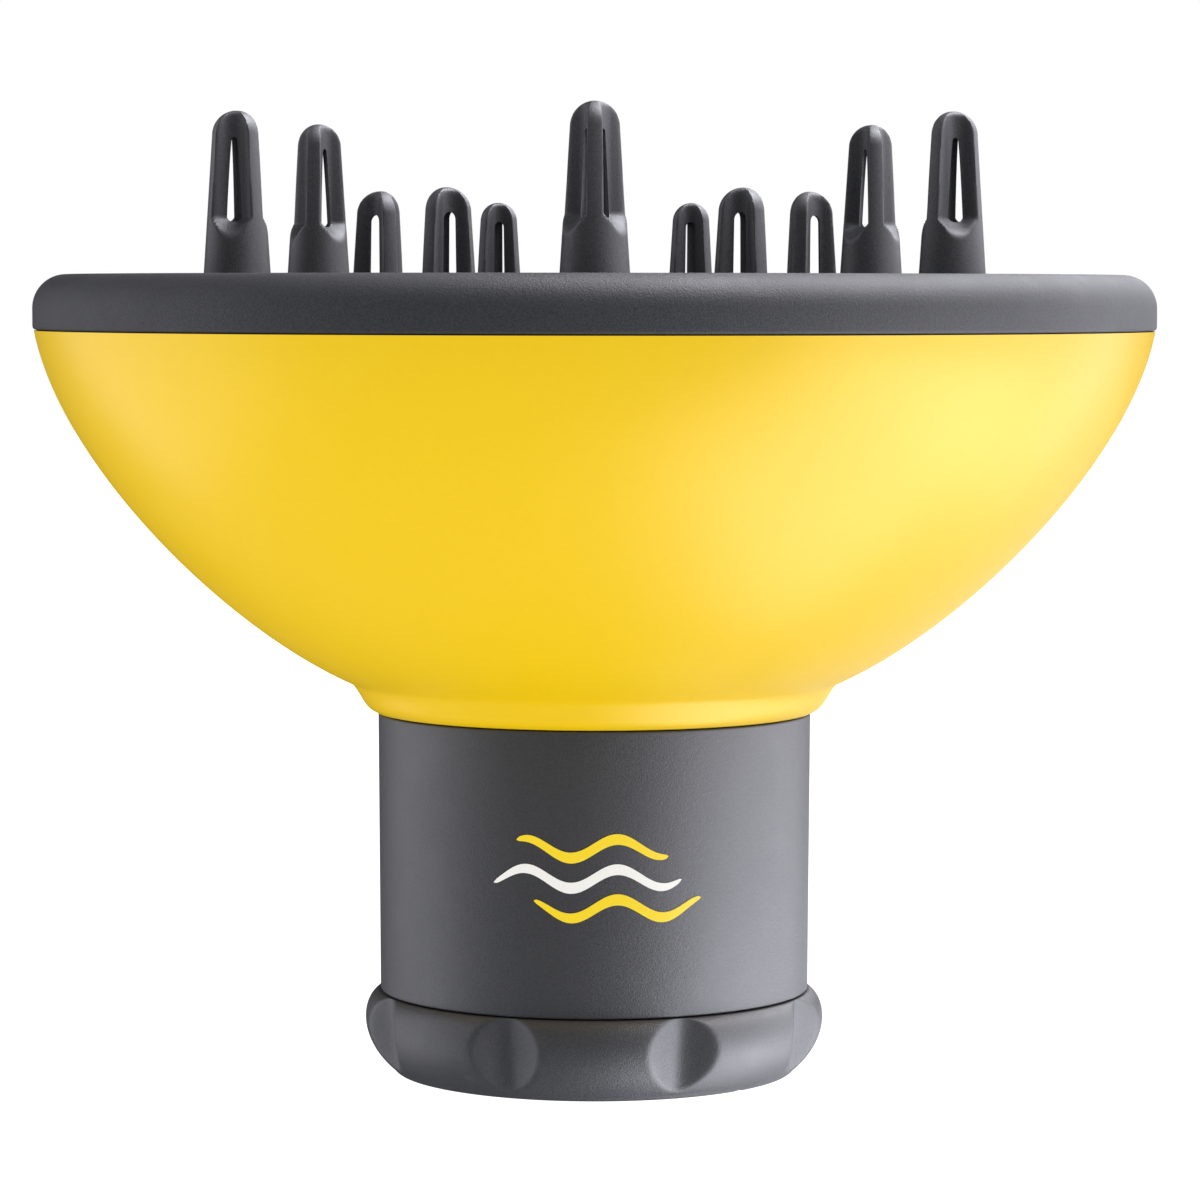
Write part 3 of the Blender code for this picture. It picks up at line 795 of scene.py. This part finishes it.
def channel_wall(angle, side, below, size):
    """Distance from a prong's axis to its surface, at an angle from the nearest channel's middle.

    Below its straight length the channel leans outwards, and so runs out in a sloping ledge.
    """
    lean = LEDGE_SLOPE * below ** 2 / (below + 0.5) if below > 0 else 0.0
    reach, out = CHANNEL * size, CHANNEL_OUT * size + lean
    edge = math.asin(reach / out)
    if angle < edge:
        wall = out * math.cos(angle) - math.sqrt(reach ** 2 - (out * math.sin(angle)) ** 2)
    else:
        wall = out * math.cos(edge) + 6 * out * (angle - edge)
    return softer_minimum(side, wall, RIB_EDGE * size)


# %% Prong
def prong(ring, tip_z, size):
    """One prong about Z, in millimetres, with a rib towards the front."""
    tip, radius = SEAM + tip_z, PRONG_TIP * size
    straight, core_tip, core_taper = tip, SHORT_CORE_TIP, SHORT_CORE_TAPER
    if ring == TALL_RING:
        straight, core_tip, core_taper = TALL_CHANNEL, CORE_TIP, CORE_TAPER
    top = dish_height(ring)
    outline = prong_side(tip, radius, top + 1.8, 20, PRONG_TAPER, rows=72)
    base = outline[-1][0]
    outline += [(base + 0.25, top + 0.7), (base + 0.6, top + 0.2), (base + 1.2, top - 0.1),
                (base + 1.2, top - 0.6), (base, top - DISH_WALL + 0.1), (0.0, top - DISH_WALL + 0.1)]
    blank = spun(outline, 180)
    for vert in blank.verts:
        side = math.hypot(vert.co.x, vert.co.y)
        if side > 0.01 and vert.co.z > top + 0.1:
            off = math.atan2(vert.co.x, -vert.co.y) % math.radians(120)
            pressed = channel_wall(abs(off - math.radians(60)), side, tip - straight - vert.co.z, size)
            vert.co.x *= pressed / side
            vert.co.y *= pressed / side
    core = prong_side(tip - CROWN * size, core_tip * size, top - THROUGH, 10, core_taper)
    core.append((0.0, top - THROUGH))
    return carve(scratch("prong_blank", blank), [scratch("prong_core", spun(core, 48))])


number = 0
for ring, angles, tip_z, size in PRONG_RINGS:
    model = prong(ring, tip_z, size)
    for angle in angles:
        number += 1
        turned = model.copy()
        turn = Matrix.Rotation(math.radians(angle), 3, 'Z')
        bmesh.ops.rotate(turned, cent=(0, 0, 0), matrix=turn, verts=turned.verts)
        bmesh.ops.translate(turned, vec=polar(ring, angle), verts=turned.verts)
        piece(f"prong_{number}", turned, PRONG_GREY_PAINTED_LIGHTER, stands_for=("face_grille",), sharp=50)
    model.free()

# %% Face
face_blank = scratch("face_blank", spun(face_outline(), 288))
face_bm = carve(face_blank, [scratch("holes", hole_cutters(32))])
piece("face", face_bm, CHARCOAL, stands_for=("face_grille",))

# %% [markdown]
# ## CAD pieces that stay
# The clamp and the screws have their real shapes already, so they only get their finishes.

# %% Finishes on CAD nodes
CAD_FINISHES = (("jaw_pad", RUBBER), ("jaw", NYLON), ("air_baffle", NYLON), ("cam_plate", STEEL),
                ("pivot_pin", STEEL), ("cam_screw", STEEL), ("baffle_screw", STEEL), ("neck_screw", STEEL))
for name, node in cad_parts.items():
    for start, look in CAD_FINISHES:
        if name.startswith(start):
            for slot in node.material_slots:
                slot.material = look
            print(f"{name}: {look.name}")
            break
